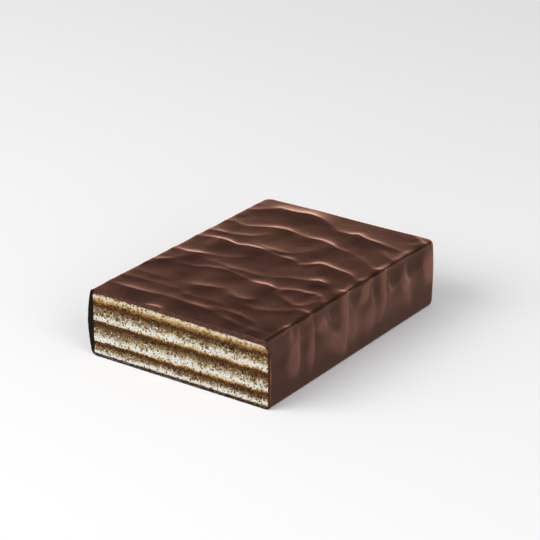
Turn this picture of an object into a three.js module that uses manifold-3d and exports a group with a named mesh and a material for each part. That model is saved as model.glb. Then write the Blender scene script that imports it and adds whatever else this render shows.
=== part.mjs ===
// A chocolate-coated wafer cake, cut across at one end: four crisp wafer sheets with three
// layers of cocoa cream between them, wrapped on every side but the cut in a poured coating.
// Millimetres. X runs across the cake, Y from the cut face to the back end, Z up.
// The origin is the centre of the base, halfway along.
import * as THREE from "three";
import { mergeVertices } from "three/addons/utils/BufferGeometryUtils.js";
import Module from "manifold-3d";

const wasm = await Module();
wasm.setup();

// ---- Driving dimensions ----
const cakeLength = 55.1;
const footWidth = 39.2;
const cakeHeight = 13.2;

const topEdgeRadius = 0.9;
const footEdgeRadius = 0.6;
const endCornerRadius = 1.1;

// The knife has pushed the side walls out a little at the cut.
const leftBulge = 0.85;
const rightBulge = 0.45;
const bulgeAtBack = 0.15; // share of the bulge that is left at the back end

const baseWall = 0.6;
const sideWall = 0.45;
const endWall = 0.9;

// The stack, from the bottom up: each layer's name and thickness.
const layers = [
  ["wafer_1", 1.2],
  ["cream_1", 1.35],
  ["wafer_2", 2.25],
  ["cream_2", 1.75],
  ["wafer_3", 2.15],
  ["cream_3", 1.7],
  ["wafer_4", 1.45],
];
const stackWidth = footWidth - 2 * sideWall;
const topSlope = 0.45; // how far the stack's top falls from left to right
const leftCornerRadius = 0.8;
const rightCornerRadius = 1.7; // the sheets' right edges are crushed round

// Colours, roughness.
const coatingLook = { color: 0x4a2e26, roughness: 0.34, metalness: 0 };
const waferLook = { color: 0xe6dcb4, roughness: 0.85, metalness: 0 };
const creamLook = { color: 0x5a3a1e, roughness: 0.7, metalness: 0 };

// ---- Ripples on the top, left by the blown chocolate ----
// Each runs across the cake between two distances from the left side. "along" is its distance
// from the cut at evenly spaced places between those ends.
const ripples = [
  { across: [-2, 24], along: [5.0, 4.9, 5.4, 5.6, 5.2], height: 0.24, width: 1.1 },
  { across: [22, 38], along: [5.2, 3.6, 3.2, 2.7], height: 0.14, width: 0.9 },
  { across: [-2, 28], along: [9.2, 9.5, 10.0, 8.8, 8.7, 10.2], height: 0.15, width: 1.0 },
  { across: [27, 37], along: [10.3, 11.0, 13.2, 17.0], height: 0.2, width: 0.9 },
  { across: [-2, 20], along: [12.5, 12.5, 12.7, 13.6, 14.4], height: 0.2, width: 1.0 },
  { across: [20, 27.5], along: [13.4, 12.6, 13.6], height: 0.2, width: 1.0 },
  { across: [-2, 7], along: [18.0, 20.0, 22.3], height: 0.22, width: 1.1 },
  { across: [3, 40], along: [19.5, 20.6, 21.5, 21.0, 20.1, 20.4, 21.8, 20.6, 19.0], height: 0.32, width: 1.0 },
  { across: [29, 37], along: [18.6, 16.6, 15.2], height: 0.2, width: 0.9 },
  { across: [-2, 21], along: [24.3, 24.8, 26.4, 28.5, 29.2], height: 0.3, width: 1.0 },
  { across: [8, 35], along: [24.4, 23.1, 23.3, 24.4, 26.3, 26.6], height: 0.24, width: 1.0 },
  { across: [-2, 41], along: [31.8, 32.8, 33.2, 33.1, 32.2, 33.5, 33.4, 31.0], height: 0.38, width: 0.9 },
  { across: [-2, 12], along: [35.4, 36.8, 39.8], height: 0.26, width: 1.0 },
  { across: [12, 25], along: [35.2, 34.9, 38.8], height: 0.22, width: 1.2 },
  { across: [-2, 41], along: [43.0, 41.5, 43.2, 43.9, 43.4, 41.8, 40.4, 38.2], height: 0.36, width: 1.1 },
  { across: [-2, 8], along: [46.8, 49.5, 52.8], height: 0.22, width: 1.6 },
  { across: [4, 22], along: [53.0, 53.1, 53.4, 54.6], height: 0.24, width: 1.2 },
  { across: [16, 40], along: [52.3, 49.6, 49.1, 47.9], height: 0.34, width: 1.1 },
  { across: [32, 41], along: [46.2, 44.4, 42.6], height: 0.16, width: 1.0 },
];

// Runs down the walls: "along" is the distance from the cut, "down" the stretch below the top.
const runs = [
  { down: [1.4, 10.5], along: [7.4, 8.2, 9.4], height: 0.24, width: 1.5 },
  { down: [0, 10.5], along: [12.6, 13.2, 14.0], height: 0.22, width: 1.4 },
  { down: [0.6, 11], along: [16.4, 19.6, 24.0], height: 0.2, width: 1.1 },
  { down: [1.5, 11], along: [24.6, 24.6, 24.0], height: 0.22, width: 1.2 },
  { down: [3, 10], along: [28.4, 29.2, 30.4], height: 0.18, width: 1.2 },
  { down: [0, 4], along: [31.6, 31.2, 30.6], height: 0.2, width: 1.0 },
  { down: [0, 10.5], along: [37.6, 37.4, 36.2], height: 0.26, width: 1.2 },
  { down: [2.5, 11.5], along: [43.8, 44.6, 46.6], height: 0.22, width: 1.2 },
  { down: [0, 8.5], along: [51.8, 53.0, 54.0], height: 0.22, width: 1.9 },
];

// Lobes of the top's chocolate that hang over the wall: centre along, half width, reach below the top.
const lobes = [
  { centre: 3.4, half: 3.2, reach: 3.8 },
  { centre: 9.2, half: 2.2, reach: 1.9 },
  { centre: 17.0, half: 5.2, reach: 1.9 },
  { centre: 28.1, half: 3.3, reach: 2.9 },
  { centre: 34.3, half: 2.4, reach: 1.6 },
  { centre: 40.6, half: 3.4, reach: 5.0 },
  { centre: 47.8, half: 4.2, reach: 4.7 },
];
const lobeThickness = 0.16;

// ---- Small helpers ----
const lerp = THREE.MathUtils.lerp;
const clamp = THREE.MathUtils.clamp;
const smooth = (t) => THREE.MathUtils.smoothstep(t, 0, 1);

// A smooth curve through evenly spaced values, read at share t from its start.
function through(values, t) {
  const place = clamp(t, 0, 1) * (values.length - 1);
  const k = Math.min(Math.floor(place), values.length - 2);
  const at = (n) => values[clamp(n, 0, values.length - 1)];
  const [a, b, c, d] = [at(k - 1), at(k), at(k + 1), at(k + 2)];
  const f = place - k;
  return b + 0.5 * f * (c - a + f * (2 * a - 5 * b + 4 * c - d + f * (3 * (b - c) + d - a)));
}

// A fold's cross profile: steep on the side away from the cut, drawn out towards it.
function fold(offset, width) {
  const spread = offset < 0 ? 1.7 * width : 0.8 * width;
  return Math.exp(-((offset / spread) ** 2));
}

// Fades a fold in and out over the last part of its length.
function ends(place, [start, stop]) {
  const fade = Math.min(3, (stop - start) / 3);
  return smooth((place - start) / fade) * smooth((stop - place) / fade);
}

// Height of the top's relief, by distance from the cut and from the left side.
function topRelief(along, across) {
  let height = 0;
  for (const r of ripples) {
    const share = (across - r.across[0]) / (r.across[1] - r.across[0]);
    if (share <= 0 || share >= 1) continue;
    const part = r.height * fold(along - through(r.along, share), r.width) * ends(across, r.across);
    height = Math.max(height, part) + 0.35 * Math.min(height, part);
  }
  return height - 0.16;
}

// Relief of a wall, by distance along it and below the top.
function wallRelief(along, down) {
  let depth = 0;
  for (const r of runs) {
    const share = (down - r.down[0]) / (r.down[1] - r.down[0]);
    if (share <= 0 || share >= 1) continue;
    const offset = along - through(r.along, share);
    depth = Math.max(depth, r.height * Math.exp(-((offset / r.width) ** 2)) * ends(down, r.down));
  }
  for (const lobe of lobes) {
    const edge = 1 - ((along - lobe.centre) / lobe.half) ** 2;
    if (edge > 0) depth += lobeThickness * smooth((lobe.reach * Math.sqrt(edge) - down) / 0.8);
  }
  return depth * smooth((cakeHeight - footEdgeRadius - down) / 2);
}

// A BoxGeometry whose vertices, as shares 0 to 1 of its width, length and height, are moved by place.
function shapedBox([nx, ny, nz], place) {
  const geometry = new THREE.BoxGeometry(1, 1, 1, nx, ny, nz);
  geometry.deleteAttribute("normal");
  geometry.deleteAttribute("uv");
  const position = geometry.attributes.position;
  for (let i = 0; i < position.count; i++) {
    const shares = [0, 1, 2].map((k) => clamp(position.getComponent(i, k) + 0.5, 0, 1));
    position.setXYZ(i, ...place(...shares));
  }
  return mergeVertices(geometry, 1e-4);
}

// ---- Coating ----
// Grid lines are drawn closer together near the edges, where the form turns.
const towardsEdges = (t) => t - (0.6 * Math.sin(2 * Math.PI * t)) / (2 * Math.PI);
const towardsBack = (t) => t + 0.35 * t * (1 - t) * t;

// How far a side wall stands out at a height above the base and a distance from the cut.
function bulge(amount, z, along) {
  const fade = lerp(1, bulgeAtBack, smooth(along / (0.8 * cakeLength)));
  return amount * fade * Math.sin(Math.PI * clamp(z / cakeHeight, 0, 1)) ** 0.8;
}

// The outer skin: a box with rounded edges everywhere but at the cut, then bulge and relief.
function coatingSkin(a, b, c) {
  const half = footWidth / 2;
  const x = lerp(-half, half, towardsEdges(a));
  const along = cakeLength * towardsBack(b);
  const z = cakeHeight * towardsEdges(c);

  const radius = lerp(footEdgeRadius, topEdgeRadius, smooth(z / cakeHeight));
  const corner = lerp(radius, endCornerRadius, smooth((along / cakeLength - 0.9) * 10));
  const core = new THREE.Vector3(
    clamp(x, -half + corner, half - corner),
    Math.min(along, cakeLength - corner),
    clamp(z, radius, cakeHeight - radius),
  );
  const out = new THREE.Vector3(x, along, z).sub(core);
  const side = new THREE.Vector2(out.x, out.y);
  if (side.length() > corner) side.setLength(corner);
  const reach = side.length() / corner;
  const normal = new THREE.Vector3(side.x / corner, side.y / corner, out.z / radius);
  if (normal.length() > 1) normal.normalize();
  const point = core.clone().add(new THREE.Vector3(normal.x * corner, normal.y * corner, normal.z * radius));

  const across = point.x + half;
  const down = cakeHeight - point.z;
  const upward = Math.max(normal.z, 0);
  const wall = reach > 0 ? wallRelief(Math.abs(normal.y) > Math.abs(normal.x) ? across : along, down) : 0;
  point.addScaledVector(normal, upward * topRelief(along, across) + (1 - upward) * wall * reach);
  const amount = point.x < 0 ? leftBulge : rightBulge;
  point.x += (Math.sign(point.x) * Math.abs(point.x / half) ** 3) * bulge(amount, point.z, along);
  return [point.x, point.y - cakeLength / 2, Math.max(point.z, 0)];
}

// ---- Stack ----
const cutPlane = -cakeLength / 2;
const stackBack = cakeLength / 2 - endWall;
const stackHeight = layers.reduce((sum, [, thickness]) => sum + thickness, 0);
const columns = 36;
const rowsPerLayer = 2;

// A corner's inset at a height above the stack's base, by its radius.
function cornerInset(height, radius) {
  const past = clamp(height - (stackHeight - radius), 0, radius);
  return radius - Math.sqrt(radius ** 2 - past ** 2);
}

// A point of the stack's section: "a" is the share across, "level" counts layers up from the base.
// Boundaries are uneven from side to side, and the same all the way back.
function stackPoint(a, level) {
  const index = Math.min(Math.floor(level), layers.length - 1);
  const below = layers.slice(0, index).reduce((sum, [, thickness]) => sum + thickness, 0);
  const height = below + (level - index) * layers[index][1];
  const left = -stackWidth / 2 + cornerInset(height, leftCornerRadius);
  const right = stackWidth / 2 - cornerInset(height, rightCornerRadius);
  const x = lerp(left, right, a);
  const long = 0.11 * Math.sin(2 * Math.PI * (x / 19 + 0.31 * level));
  const short = 0.06 * Math.sin(2 * Math.PI * (x / 6.7 + 0.57 * level));
  const inner = Math.min(level, layers.length - level, 1);
  const slope = topSlope * (level / layers.length) ** 6 * smooth(a);
  return [x, baseWall + height + inner * (long + short) - slope];
}

// The broken face of the cut: crumbs stand out and hollows go in by a fraction of a millimetre.
function crumble(x, z, depth) {
  const bumps = Math.sin(2.9 * x + 1.7 * z) * Math.sin(1.3 * x - 2.3 * z) + 0.5 * Math.sin(5.1 * x + 3.7 * z);
  return depth * (1.5 + bumps);
}

// One layer, with its broken face at the cut.
function layerGeometry(index, depth) {
  return shapedBox([columns, 1, rowsPerLayer], (a, b, c) => {
    const [x, z] = stackPoint(a, index + c);
    return [x, b < 0.5 ? cutPlane + crumble(x, z, depth) : stackBack, z];
  });
}

// The room that the coating leaves for the stack, open past the cut.
function cavityGeometry() {
  return shapedBox([columns, 1, layers.length * rowsPerLayer], (a, b, c) => {
    const [x, z] = stackPoint(a, c * layers.length);
    return [x, b < 0.5 ? cutPlane - 5 : stackBack, z];
  });
}

// ---- Solids ----
function solid(geometry) {
  const vertProperties = geometry.attributes.position.array;
  return new wasm.Manifold(new wasm.Mesh({ numProp: 3, vertProperties, triVerts: geometry.index.array }));
}

function geometryOf(shape) {
  const { vertProperties, triVerts } = shape.getMesh();
  return new THREE.BufferGeometry()
    .setAttribute("position", new THREE.BufferAttribute(vertProperties, 3))
    .setIndex(new THREE.BufferAttribute(triVerts, 1));
}

function node(name, geometry, look) {
  const mesh = new THREE.Mesh(geometry, new THREE.MeshStandardMaterial(look));
  mesh.name = name;
  return mesh;
}

const cake = new THREE.Group();

const skin = solid(shapedBox([26, 60, 10], coatingSkin));
cake.add(node("coating", geometryOf(skin.subtract(solid(cavityGeometry()))), coatingLook));

layers.forEach(([name], index) => {
  const isWafer = name.startsWith("wafer");
  cake.add(node(name, layerGeometry(index, isWafer ? 0.1 : 0.06), isWafer ? waferLook : creamLook));
});

const box = new THREE.Box3().setFromObject(cake);
cake.position.set(-(box.min.x + box.max.x) / 2, -(box.min.y + box.max.y) / 2, -box.min.z);

export default cake;
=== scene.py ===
import math
import random
import bpy
import numpy as np
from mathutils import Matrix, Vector, noise


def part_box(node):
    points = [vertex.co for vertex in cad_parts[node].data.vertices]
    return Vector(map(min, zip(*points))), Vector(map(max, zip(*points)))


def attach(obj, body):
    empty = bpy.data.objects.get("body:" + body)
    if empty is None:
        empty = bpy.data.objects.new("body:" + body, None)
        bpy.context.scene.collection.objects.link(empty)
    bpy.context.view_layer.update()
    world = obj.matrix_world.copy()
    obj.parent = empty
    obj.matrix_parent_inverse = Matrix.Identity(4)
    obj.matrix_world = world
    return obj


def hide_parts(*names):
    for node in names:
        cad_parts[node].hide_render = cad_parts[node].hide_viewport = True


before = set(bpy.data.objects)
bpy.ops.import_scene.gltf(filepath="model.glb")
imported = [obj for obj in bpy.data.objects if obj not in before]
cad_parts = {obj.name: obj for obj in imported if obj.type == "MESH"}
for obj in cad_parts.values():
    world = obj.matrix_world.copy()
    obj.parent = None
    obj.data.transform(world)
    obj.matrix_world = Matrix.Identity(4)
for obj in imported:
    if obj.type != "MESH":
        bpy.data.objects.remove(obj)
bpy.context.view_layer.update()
mm = 0.001

# ---- What the frame gives: the cake lies along Y, with its cut face towards -Y ----
walls = {"side": 0.45 * mm, "end": 0.95 * mm, "base": 0.6 * mm, "top": 0.65 * mm}
stackLow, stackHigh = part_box("wafer_2")
coatLow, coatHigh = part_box("coating")
bodyLow = Vector((stackLow.x - walls["side"], coatLow.y, coatLow.z))
bodyHigh = Vector((
    stackHigh.x + walls["side"],
    stackHigh.y + walls["end"],
    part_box("wafer_4")[1].z + walls["top"],
))
bodySize = bodyHigh - bodyLow


# ---- Small helpers ----
def deselectAll():
    if bpy.context.object and bpy.context.object.mode != "OBJECT":
        bpy.ops.object.mode_set(mode="OBJECT")
    bpy.ops.object.select_all(action="DESELECT")


def makeActive(piece):
    deselectAll()
    piece.select_set(True)
    bpy.context.view_layer.objects.active = piece


def addBlock(name, low, high):
    deselectAll()
    bpy.ops.mesh.primitive_cube_add(size=1, location=(low + high) / 2)
    block = bpy.context.object
    block.scale = high - low
    bpy.ops.object.transform_apply(location=True, rotation=True, scale=True)
    block.name = name
    block.data.name = name
    return block


def vertexPoints(mesh):
    points = np.zeros(len(mesh.vertices) * 3)
    mesh.vertices.foreach_get("co", points)
    return points.reshape(-1, 3)


def vertexNormals(mesh):
    normals = np.zeros(len(mesh.vertices) * 3)
    mesh.vertex_normals.foreach_get("vector", normals)
    return normals.reshape(-1, 3)


def pickEdges(piece, test):
    makeActive(piece)
    bpy.ops.object.mode_set(mode="EDIT")
    bpy.ops.mesh.select_mode(type="EDGE")
    bpy.ops.mesh.select_all(action="DESELECT")
    bpy.ops.object.mode_set(mode="OBJECT")
    points = vertexPoints(piece.data)
    ends = np.zeros(len(piece.data.edges) * 2, int)
    piece.data.edges.foreach_get("vertices", ends)
    chosen = test(points[ends[0::2]], points[ends[1::2]])
    piece.data.edges.foreach_set("select", chosen)
    bpy.ops.object.mode_set(mode="EDIT")


def pickFaces(piece, test):
    makeActive(piece)
    bpy.ops.object.mode_set(mode="EDIT")
    bpy.ops.mesh.select_mode(type="FACE")
    bpy.ops.mesh.select_all(action="DESELECT")
    bpy.ops.object.mode_set(mode="OBJECT")
    count = len(piece.data.polygons)
    centres = np.zeros(count * 3)
    normals = np.zeros(count * 3)
    piece.data.polygons.foreach_get("center", centres)
    piece.data.polygons.foreach_get("normal", normals)
    piece.data.polygons.foreach_set("select", test(centres.reshape(-1, 3), normals.reshape(-1, 3)))
    bpy.ops.object.mode_set(mode="EDIT")


def bevelEdges(piece, test, radius, segments):
    pickEdges(piece, test)
    bpy.ops.mesh.bevel(offset=radius, offset_type="OFFSET", segments=segments, affect="EDGES")
    bpy.ops.object.mode_set(mode="OBJECT")


def deleteFaces(piece, test):
    pickFaces(piece, test)
    bpy.ops.mesh.delete(type="ONLY_FACE")
    bpy.ops.object.mode_set(mode="OBJECT")


# Cuts every edge that runs along an axis into parts, given as factors that multiply up.
def cutAlong(piece, axis, factors):
    def runsAlong(a, b):
        way = np.abs(b - a)
        return way[:, axis] > 0.999 * np.linalg.norm(way, axis=1)

    for factor in factors:
        pickEdges(piece, runsAlong)
        bpy.ops.mesh.subdivide(number_cuts=factor - 1)
        bpy.ops.object.mode_set(mode="OBJECT")


def weighGroup(piece, name, weights):
    group = piece.vertex_groups.new(name=name)
    for index, weight in enumerate(weights):
        if weight > 0.0005:
            group.add((index,), min(float(weight), 1.0), "REPLACE")


def displace(piece, group, strength, direction="NORMAL", texture=None, middle=0.0):
    makeActive(piece)
    modifier = piece.modifiers.new("displace", "DISPLACE")
    modifier.vertex_group = group
    modifier.strength = strength
    modifier.direction = direction
    modifier.mid_level = middle
    modifier.texture = texture
    modifier.texture_coords = "LOCAL"
    bpy.ops.object.modifier_apply(modifier=modifier.name)


def cloudTexture(name, size, depth=2):
    texture = bpy.data.textures.new(name, "CLOUDS")
    texture.noise_scale = size
    texture.noise_depth = depth
    return texture


def storeOnPoints(piece, name, values):
    attribute = piece.data.attributes.new(name, "FLOAT", "POINT")
    attribute.data.foreach_set("value", np.asarray(values, np.float32))


def smoothStep(low, high, value):
    share = np.clip((value - low) / (high - low), 0, 1)
    return share * share * (3 - 2 * share)


# ---- Materials ----
def newMaterial(name):
    material = bpy.data.materials.new(name)
    material.use_nodes = True
    material.node_tree.nodes.clear()
    return material


def addNode(material, kind, **values):
    node = material.node_tree.nodes.new(kind)
    for name, value in values.items():
        setattr(node, name, value)
    return node


def setInputs(node, **values):
    for name, value in values.items():
        node.inputs[name.replace("_", " ")].default_value = value


def join(material, source, target):
    material.node_tree.links.new(source, target)


def noiseNode(material, coordinates, size, detail, roughness=0.5):
    node = addNode(material, "ShaderNodeTexNoise")
    setInputs(node, Scale=1 / size, Detail=detail, Roughness=roughness)
    join(material, coordinates, node.inputs["Vector"])
    return node.outputs["Fac"]


def rampNode(material, source, stops):
    node = addNode(material, "ShaderNodeValToRGB")
    ramp = node.color_ramp
    while len(ramp.elements) < len(stops):
        ramp.elements.new(0.5)
    for element, (place, colour) in zip(ramp.elements, stops):
        element.position = place
        element.color = (*colour, 1)
    join(material, source, node.inputs["Fac"])
    return node.outputs["Color"]


def mixNode(material, share, first, second, blend="MIX"):
    node = addNode(material, "ShaderNodeMix", data_type="RGBA", blend_type=blend)
    for socket, value in ((node.inputs[0], share), (node.inputs[6], first), (node.inputs[7], second)):
        if isinstance(value, bpy.types.NodeSocket):
            join(material, value, socket)
        else:
            socket.default_value = (*value, 1) if isinstance(value, tuple) else value
    return node.outputs[2]


def mapNode(material, source, fromLow, fromHigh, toLow, toHigh):
    node = addNode(material, "ShaderNodeMapRange")
    setInputs(node, From_Min=fromLow, From_Max=fromHigh, To_Min=toLow, To_Max=toHigh)
    join(material, source, node.inputs["Value"])
    return node.outputs["Result"]


def mathNode(material, operation, first, second):
    node = addNode(material, "ShaderNodeMath", operation=operation)
    for socket, value in zip(node.inputs, (first, second)):
        if isinstance(value, bpy.types.NodeSocket):
            join(material, value, socket)
        else:
            socket.default_value = value
    return node.outputs[0]


def attributeNode(material, name):
    return addNode(material, "ShaderNodeAttribute", attribute_name=name).outputs["Fac"]


def finishMaterial(material, colour, roughness, bumpSource, bumpDistance, **constants):
    shader = addNode(material, "ShaderNodeBsdfPrincipled")
    output = addNode(material, "ShaderNodeOutputMaterial")
    bump = addNode(material, "ShaderNodeBump")
    setInputs(bump, Strength=1.0, Distance=bumpDistance)
    setInputs(shader, **constants)
    join(material, bumpSource, bump.inputs["Height"])
    join(material, bump.outputs["Normal"], shader.inputs["Normal"])
    join(material, colour, shader.inputs["Base Color"])
    join(material, roughness, shader.inputs["Roughness"])
    join(material, shader.outputs["BSDF"], output.inputs["Surface"])


chocolateLook = {
    "dark": (0.026, 0.0116, 0.0083),
    "light": (0.035, 0.0158, 0.0114),
    "crestHighlight": (0.112, 0.049, 0.035),
    "ribHighlight": (0.200, 0.092, 0.066),
    "hollowShade": (0.62, 0.62, 0.63),
    "gloss": (0.20, 0.28),
    "satin": 0.20,
    "tint": (1.0, 0.55, 0.42, 1.0),
}


def chocolateMaterial():
    material = newMaterial("chocolate")
    place = addNode(material, "ShaderNodeTexCoord").outputs["Object"]
    blotches = noiseNode(material, place, 5 * mm, 3)
    grain = noiseNode(material, place, 0.22 * mm, 3, 0.6)
    colour = rampNode(material, blotches, [(0.35, chocolateLook["dark"]), (0.65, chocolateLook["light"])])
    # Painted highlight: where folds run, and on broad spots of the right wall, the colour is mixed towards a paler
    # brown for lit crests.
    crestHighlight = attributeNode(material, "crestHighlight")
    wall = attributeNode(material, "wall")
    crestLight = mapNode(material, crestHighlight, 0.2, 0.95, 0.0, 0.46)
    colour = mixNode(material, crestLight, colour, chocolateLook["crestHighlight"])
    # Painted highlight: on the walls the crests are mixed further towards a pale brown, for the lit columns.
    ribHighlight = mapNode(material, mathNode(material, "MULTIPLY", crestHighlight, wall), 0.45, 1.6, 0.0, 0.80)
    colour = mixNode(material, ribHighlight, colour, chocolateLook["ribHighlight"])
    # Painted shade: the dents under the right edge are darkened.
    hollowShade = mapNode(material, attributeNode(material, "hollowShade"), 0.1, 0.9, 0.0, 1.0)
    colour = mixNode(material, hollowShade, colour, mixNode(material, 1.0, colour, chocolateLook["hollowShade"], "MULTIPLY"))
    speckle = rampNode(material, grain, [(0.3, (0.86, 0.86, 0.86)), (0.7, (1.12, 1.12, 1.12))])
    colour = mixNode(material, 1.0, colour, speckle, "MULTIPLY")
    roughness = mapNode(material, blotches, 0.3, 0.7, *chocolateLook["gloss"])
    satin = mapNode(material, wall, 0.0, 1.0, 0.0, chocolateLook["satin"])
    roughness = mathNode(material, "ADD", roughness, satin)
    finishMaterial(
        material, colour, roughness, grain, 0.006 * mm,
        Specular_Tint=chocolateLook["tint"], IOR=1.46, Specular_IOR_Level=0.5,
    )
    return material


# The broken edge of the coating: nearly black at the left and the base, brown along the top, and down the right side
# in bands of painted highlight, with lines of painted shade at the gap and in the creases.
brokenLook = {
    "dark": (0.0025, 0.0018, 0.0016),
    "light": (0.012, 0.0075, 0.006),
    "specks": (0.14, 0.115, 0.12),
    "top": [(0.32, (0.050, 0.0205, 0.0140)), (0.52, (0.074, 0.0300, 0.0200)), (0.68, (0.170, 0.070, 0.045))],
    "litAndShadedBands": [
        (0.00, (0.010, 0.006, 0.004)),
        (0.14, (0.014, 0.008, 0.005)),
        (0.26, (0.150, 0.062, 0.038)),
        (0.42, (0.090, 0.040, 0.026)),
        (0.52, (0.026, 0.011, 0.008)),
        (0.68, (0.250, 0.085, 0.034)),
        (0.86, (0.150, 0.060, 0.034)),
        (1.00, (0.060, 0.025, 0.017)),
    ],
    "litBandsFrom": stackHigh.x - 0.2 * mm,
    "litBandsWidth": 1.05 * mm,
    "roughness": (0.45, 0.7),
}


def brokenChocolateMaterial():
    material = newMaterial("brokenChocolate")
    place = addNode(material, "ShaderNodeTexCoord").outputs["Object"]
    split = addNode(material, "ShaderNodeSeparateXYZ")
    join(material, place, split.inputs[0])
    lumps = noiseNode(material, place, 0.4 * mm, 4, 0.65)
    plain = rampNode(material, lumps, [(0.38, brokenLook["dark"]), (0.68, brokenLook["light"])])
    low = bodyLow.z
    nearBase = mapNode(material, split.outputs["Z"], low + 0.5 * mm, low + 0.9 * mm, 0.9, 0.0)
    specks = mapNode(material, noiseNode(material, place, 0.3 * mm, 2), 0.50, 0.60, 0.0, 1.0)
    plain = mixNode(material, mathNode(material, "MULTIPLY", specks, nearBase), plain, brokenLook["specks"])
    # Down the right side: bright bands are painted highlight lines, dark bands are painted shade in the gap and the
    # creases.
    start = brokenLook["litBandsFrom"]
    across = mapNode(material, split.outputs["X"], start, start + brokenLook["litBandsWidth"], 0, 1)
    wander = mapNode(material, noiseNode(material, place, 1.4 * mm, 2), 0.3, 0.7, -0.08, 0.08)
    litAndShadedBands = rampNode(material, mathNode(material, "ADD", across, wander), brokenLook["litAndShadedBands"])
    uneven = mapNode(material, lumps, 0.35, 0.7, 0.55, 1.25)
    litAndShadedBands = mixNode(material, 1.0, litAndShadedBands, uneven, "MULTIPLY")
    isRight = mapNode(material, split.outputs["X"], start - 0.6 * mm, start + 0.1 * mm, 0, 1)
    colour = mixNode(material, isRight, plain, litAndShadedBands)
    brown = rampNode(material, lumps, brokenLook["top"])
    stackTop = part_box("wafer_4")[1].z
    isTop = mapNode(material, split.outputs["Z"], stackTop - 1.3 * mm, stackTop - 0.6 * mm, 0, 1)
    notLeft = mapNode(material, split.outputs["X"], stackLow.x - 0.1 * mm, stackLow.x + 0.6 * mm, 0, 1)
    colour = mixNode(material, mathNode(material, "MULTIPLY", isTop, notLeft), colour, brown)
    roughness = mapNode(material, lumps, 0.3, 0.7, *brokenLook["roughness"])
    finishMaterial(material, colour, roughness, lumps, 0.05 * mm, IOR=1.46, Specular_IOR_Level=0.22)
    return material


# Layers are coloured by the height within the layer, then by blotches, crumbs and pores.
def paint(red, green, blue):
    return tuple(0.71 * ((v / 255 + 0.055) / 1.055) ** 2.4 for v in (red, green, blue))


layerLooks = {
    "wafer": {
        "heights": [
            (0.00, paint(188, 130, 60)),
            (0.06, paint(216, 182, 112)),
            (0.14, paint(238, 231, 206)),
            (0.34, paint(247, 249, 245)),
            (0.52, paint(242, 242, 233)),
            (0.68, paint(216, 208, 176)),
            (0.85, paint(168, 148, 100)),
            (1.00, paint(138, 112, 68)),
        ],
        "pores": [(0.0, 0.38), (0.2, 0.27), (0.45, 0.27), (0.65, 0.40), (0.85, 0.48), (1.0, 0.50)],
        "crumbs": [(0.0, 0.12), (0.3, 0.18), (0.6, 0.30), (0.8, 0.38), (1.0, 0.40)],
        "loose": (0.0, 0.5, 0.35, 1.0),
        "poreShadeColour": paint(106, 80, 36),
        "crumbColour": paint(252, 253, 250),
        "leftLift": 0.20,
    },
    "waferTop": {
        "heights": [
            (0.00, paint(150, 104, 54)),
            (0.16, paint(186, 142, 80)),
            (0.38, paint(216, 192, 142)),
            (0.62, paint(234, 222, 186)),
            (0.86, paint(245, 238, 216)),
            (1.00, paint(168, 112, 66)),
        ],
        "pores": [(0.0, 0.40), (0.4, 0.34), (0.8, 0.30), (1.0, 0.36)],
        "crumbs": [(0.0, 0.15), (0.5, 0.26), (0.9, 0.34), (1.0, 0.20)],
        "loose": (0.0, 0.5, 0.6, 1.0),
        "poreShadeColour": paint(122, 88, 42),
        "crumbColour": paint(250, 248, 238),
        "leftLift": 0.12,
    },
    "cream": {
        "heights": [
            (0.00, paint(150, 122, 76)),
            (0.20, paint(124, 93, 54)),
            (0.42, paint(92, 63, 40)),
            (0.60, paint(72, 47, 34)),
            (0.80, paint(75, 48, 34)),
            (0.92, paint(138, 92, 46)),
            (1.00, paint(186, 132, 64)),
        ],
        "pores": [(0.0, 0.48), (0.3, 0.44), (0.6, 0.42), (0.9, 0.38), (1.0, 0.36)],
        "crumbs": [(0.0, 0.40), (0.25, 0.32), (0.5, 0.20), (0.8, 0.14), (1.0, 0.16)],
        "loose": (0.6, 1.0, 1.0, 0.35),
        "poreShadeColour": paint(34, 23, 17),
        "crumbColour": paint(206, 194, 156),
        "leftLift": 0.0,
    },
    "creamTop": {
        "heights": [
            (0.00, paint(146, 118, 70)),
            (0.20, paint(120, 91, 52)),
            (0.40, paint(90, 62, 38)),
            (0.54, paint(70, 46, 34)),
            (0.70, paint(71, 46, 34)),
            (0.84, paint(128, 86, 44)),
            (1.00, paint(180, 126, 62)),
        ],
        "pores": [(0.0, 0.48), (0.3, 0.44), (0.6, 0.42), (0.85, 0.38), (1.0, 0.36)],
        "crumbs": [(0.0, 0.40), (0.25, 0.32), (0.5, 0.20), (0.8, 0.14), (1.0, 0.16)],
        "loose": (0.6, 1.0, 1.0, 0.5),
        "poreShadeColour": paint(34, 23, 17),
        "crumbColour": paint(204, 192, 152),
        "leftLift": 0.0,
    },
}
grains = {"pore": 0.46 * mm, "crumb": 0.36 * mm, "fine": 0.24 * mm, "patch": 2.6 * mm, "stain": 1.1 * mm}
toasted = {"ring": paint(200, 140, 60), "stain": (1.0, 0.88, 0.62)}


# How far inside a dot each place is: one round dot for each cell, as wide as the limit there says.
def dotsNode(material, place, size, limit):
    cells = addNode(material, "ShaderNodeTexVoronoi")
    setInputs(cells, Scale=1 / size, Randomness=1.0)
    join(material, place, cells.inputs["Vector"])
    chance = mapNode(material, cells.outputs["Color"], 0.2, 0.8, 0.3, 1.5)
    return mathNode(material, "SUBTRACT", mathNode(material, "MULTIPLY", limit, chance), cells.outputs["Distance"])


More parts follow.
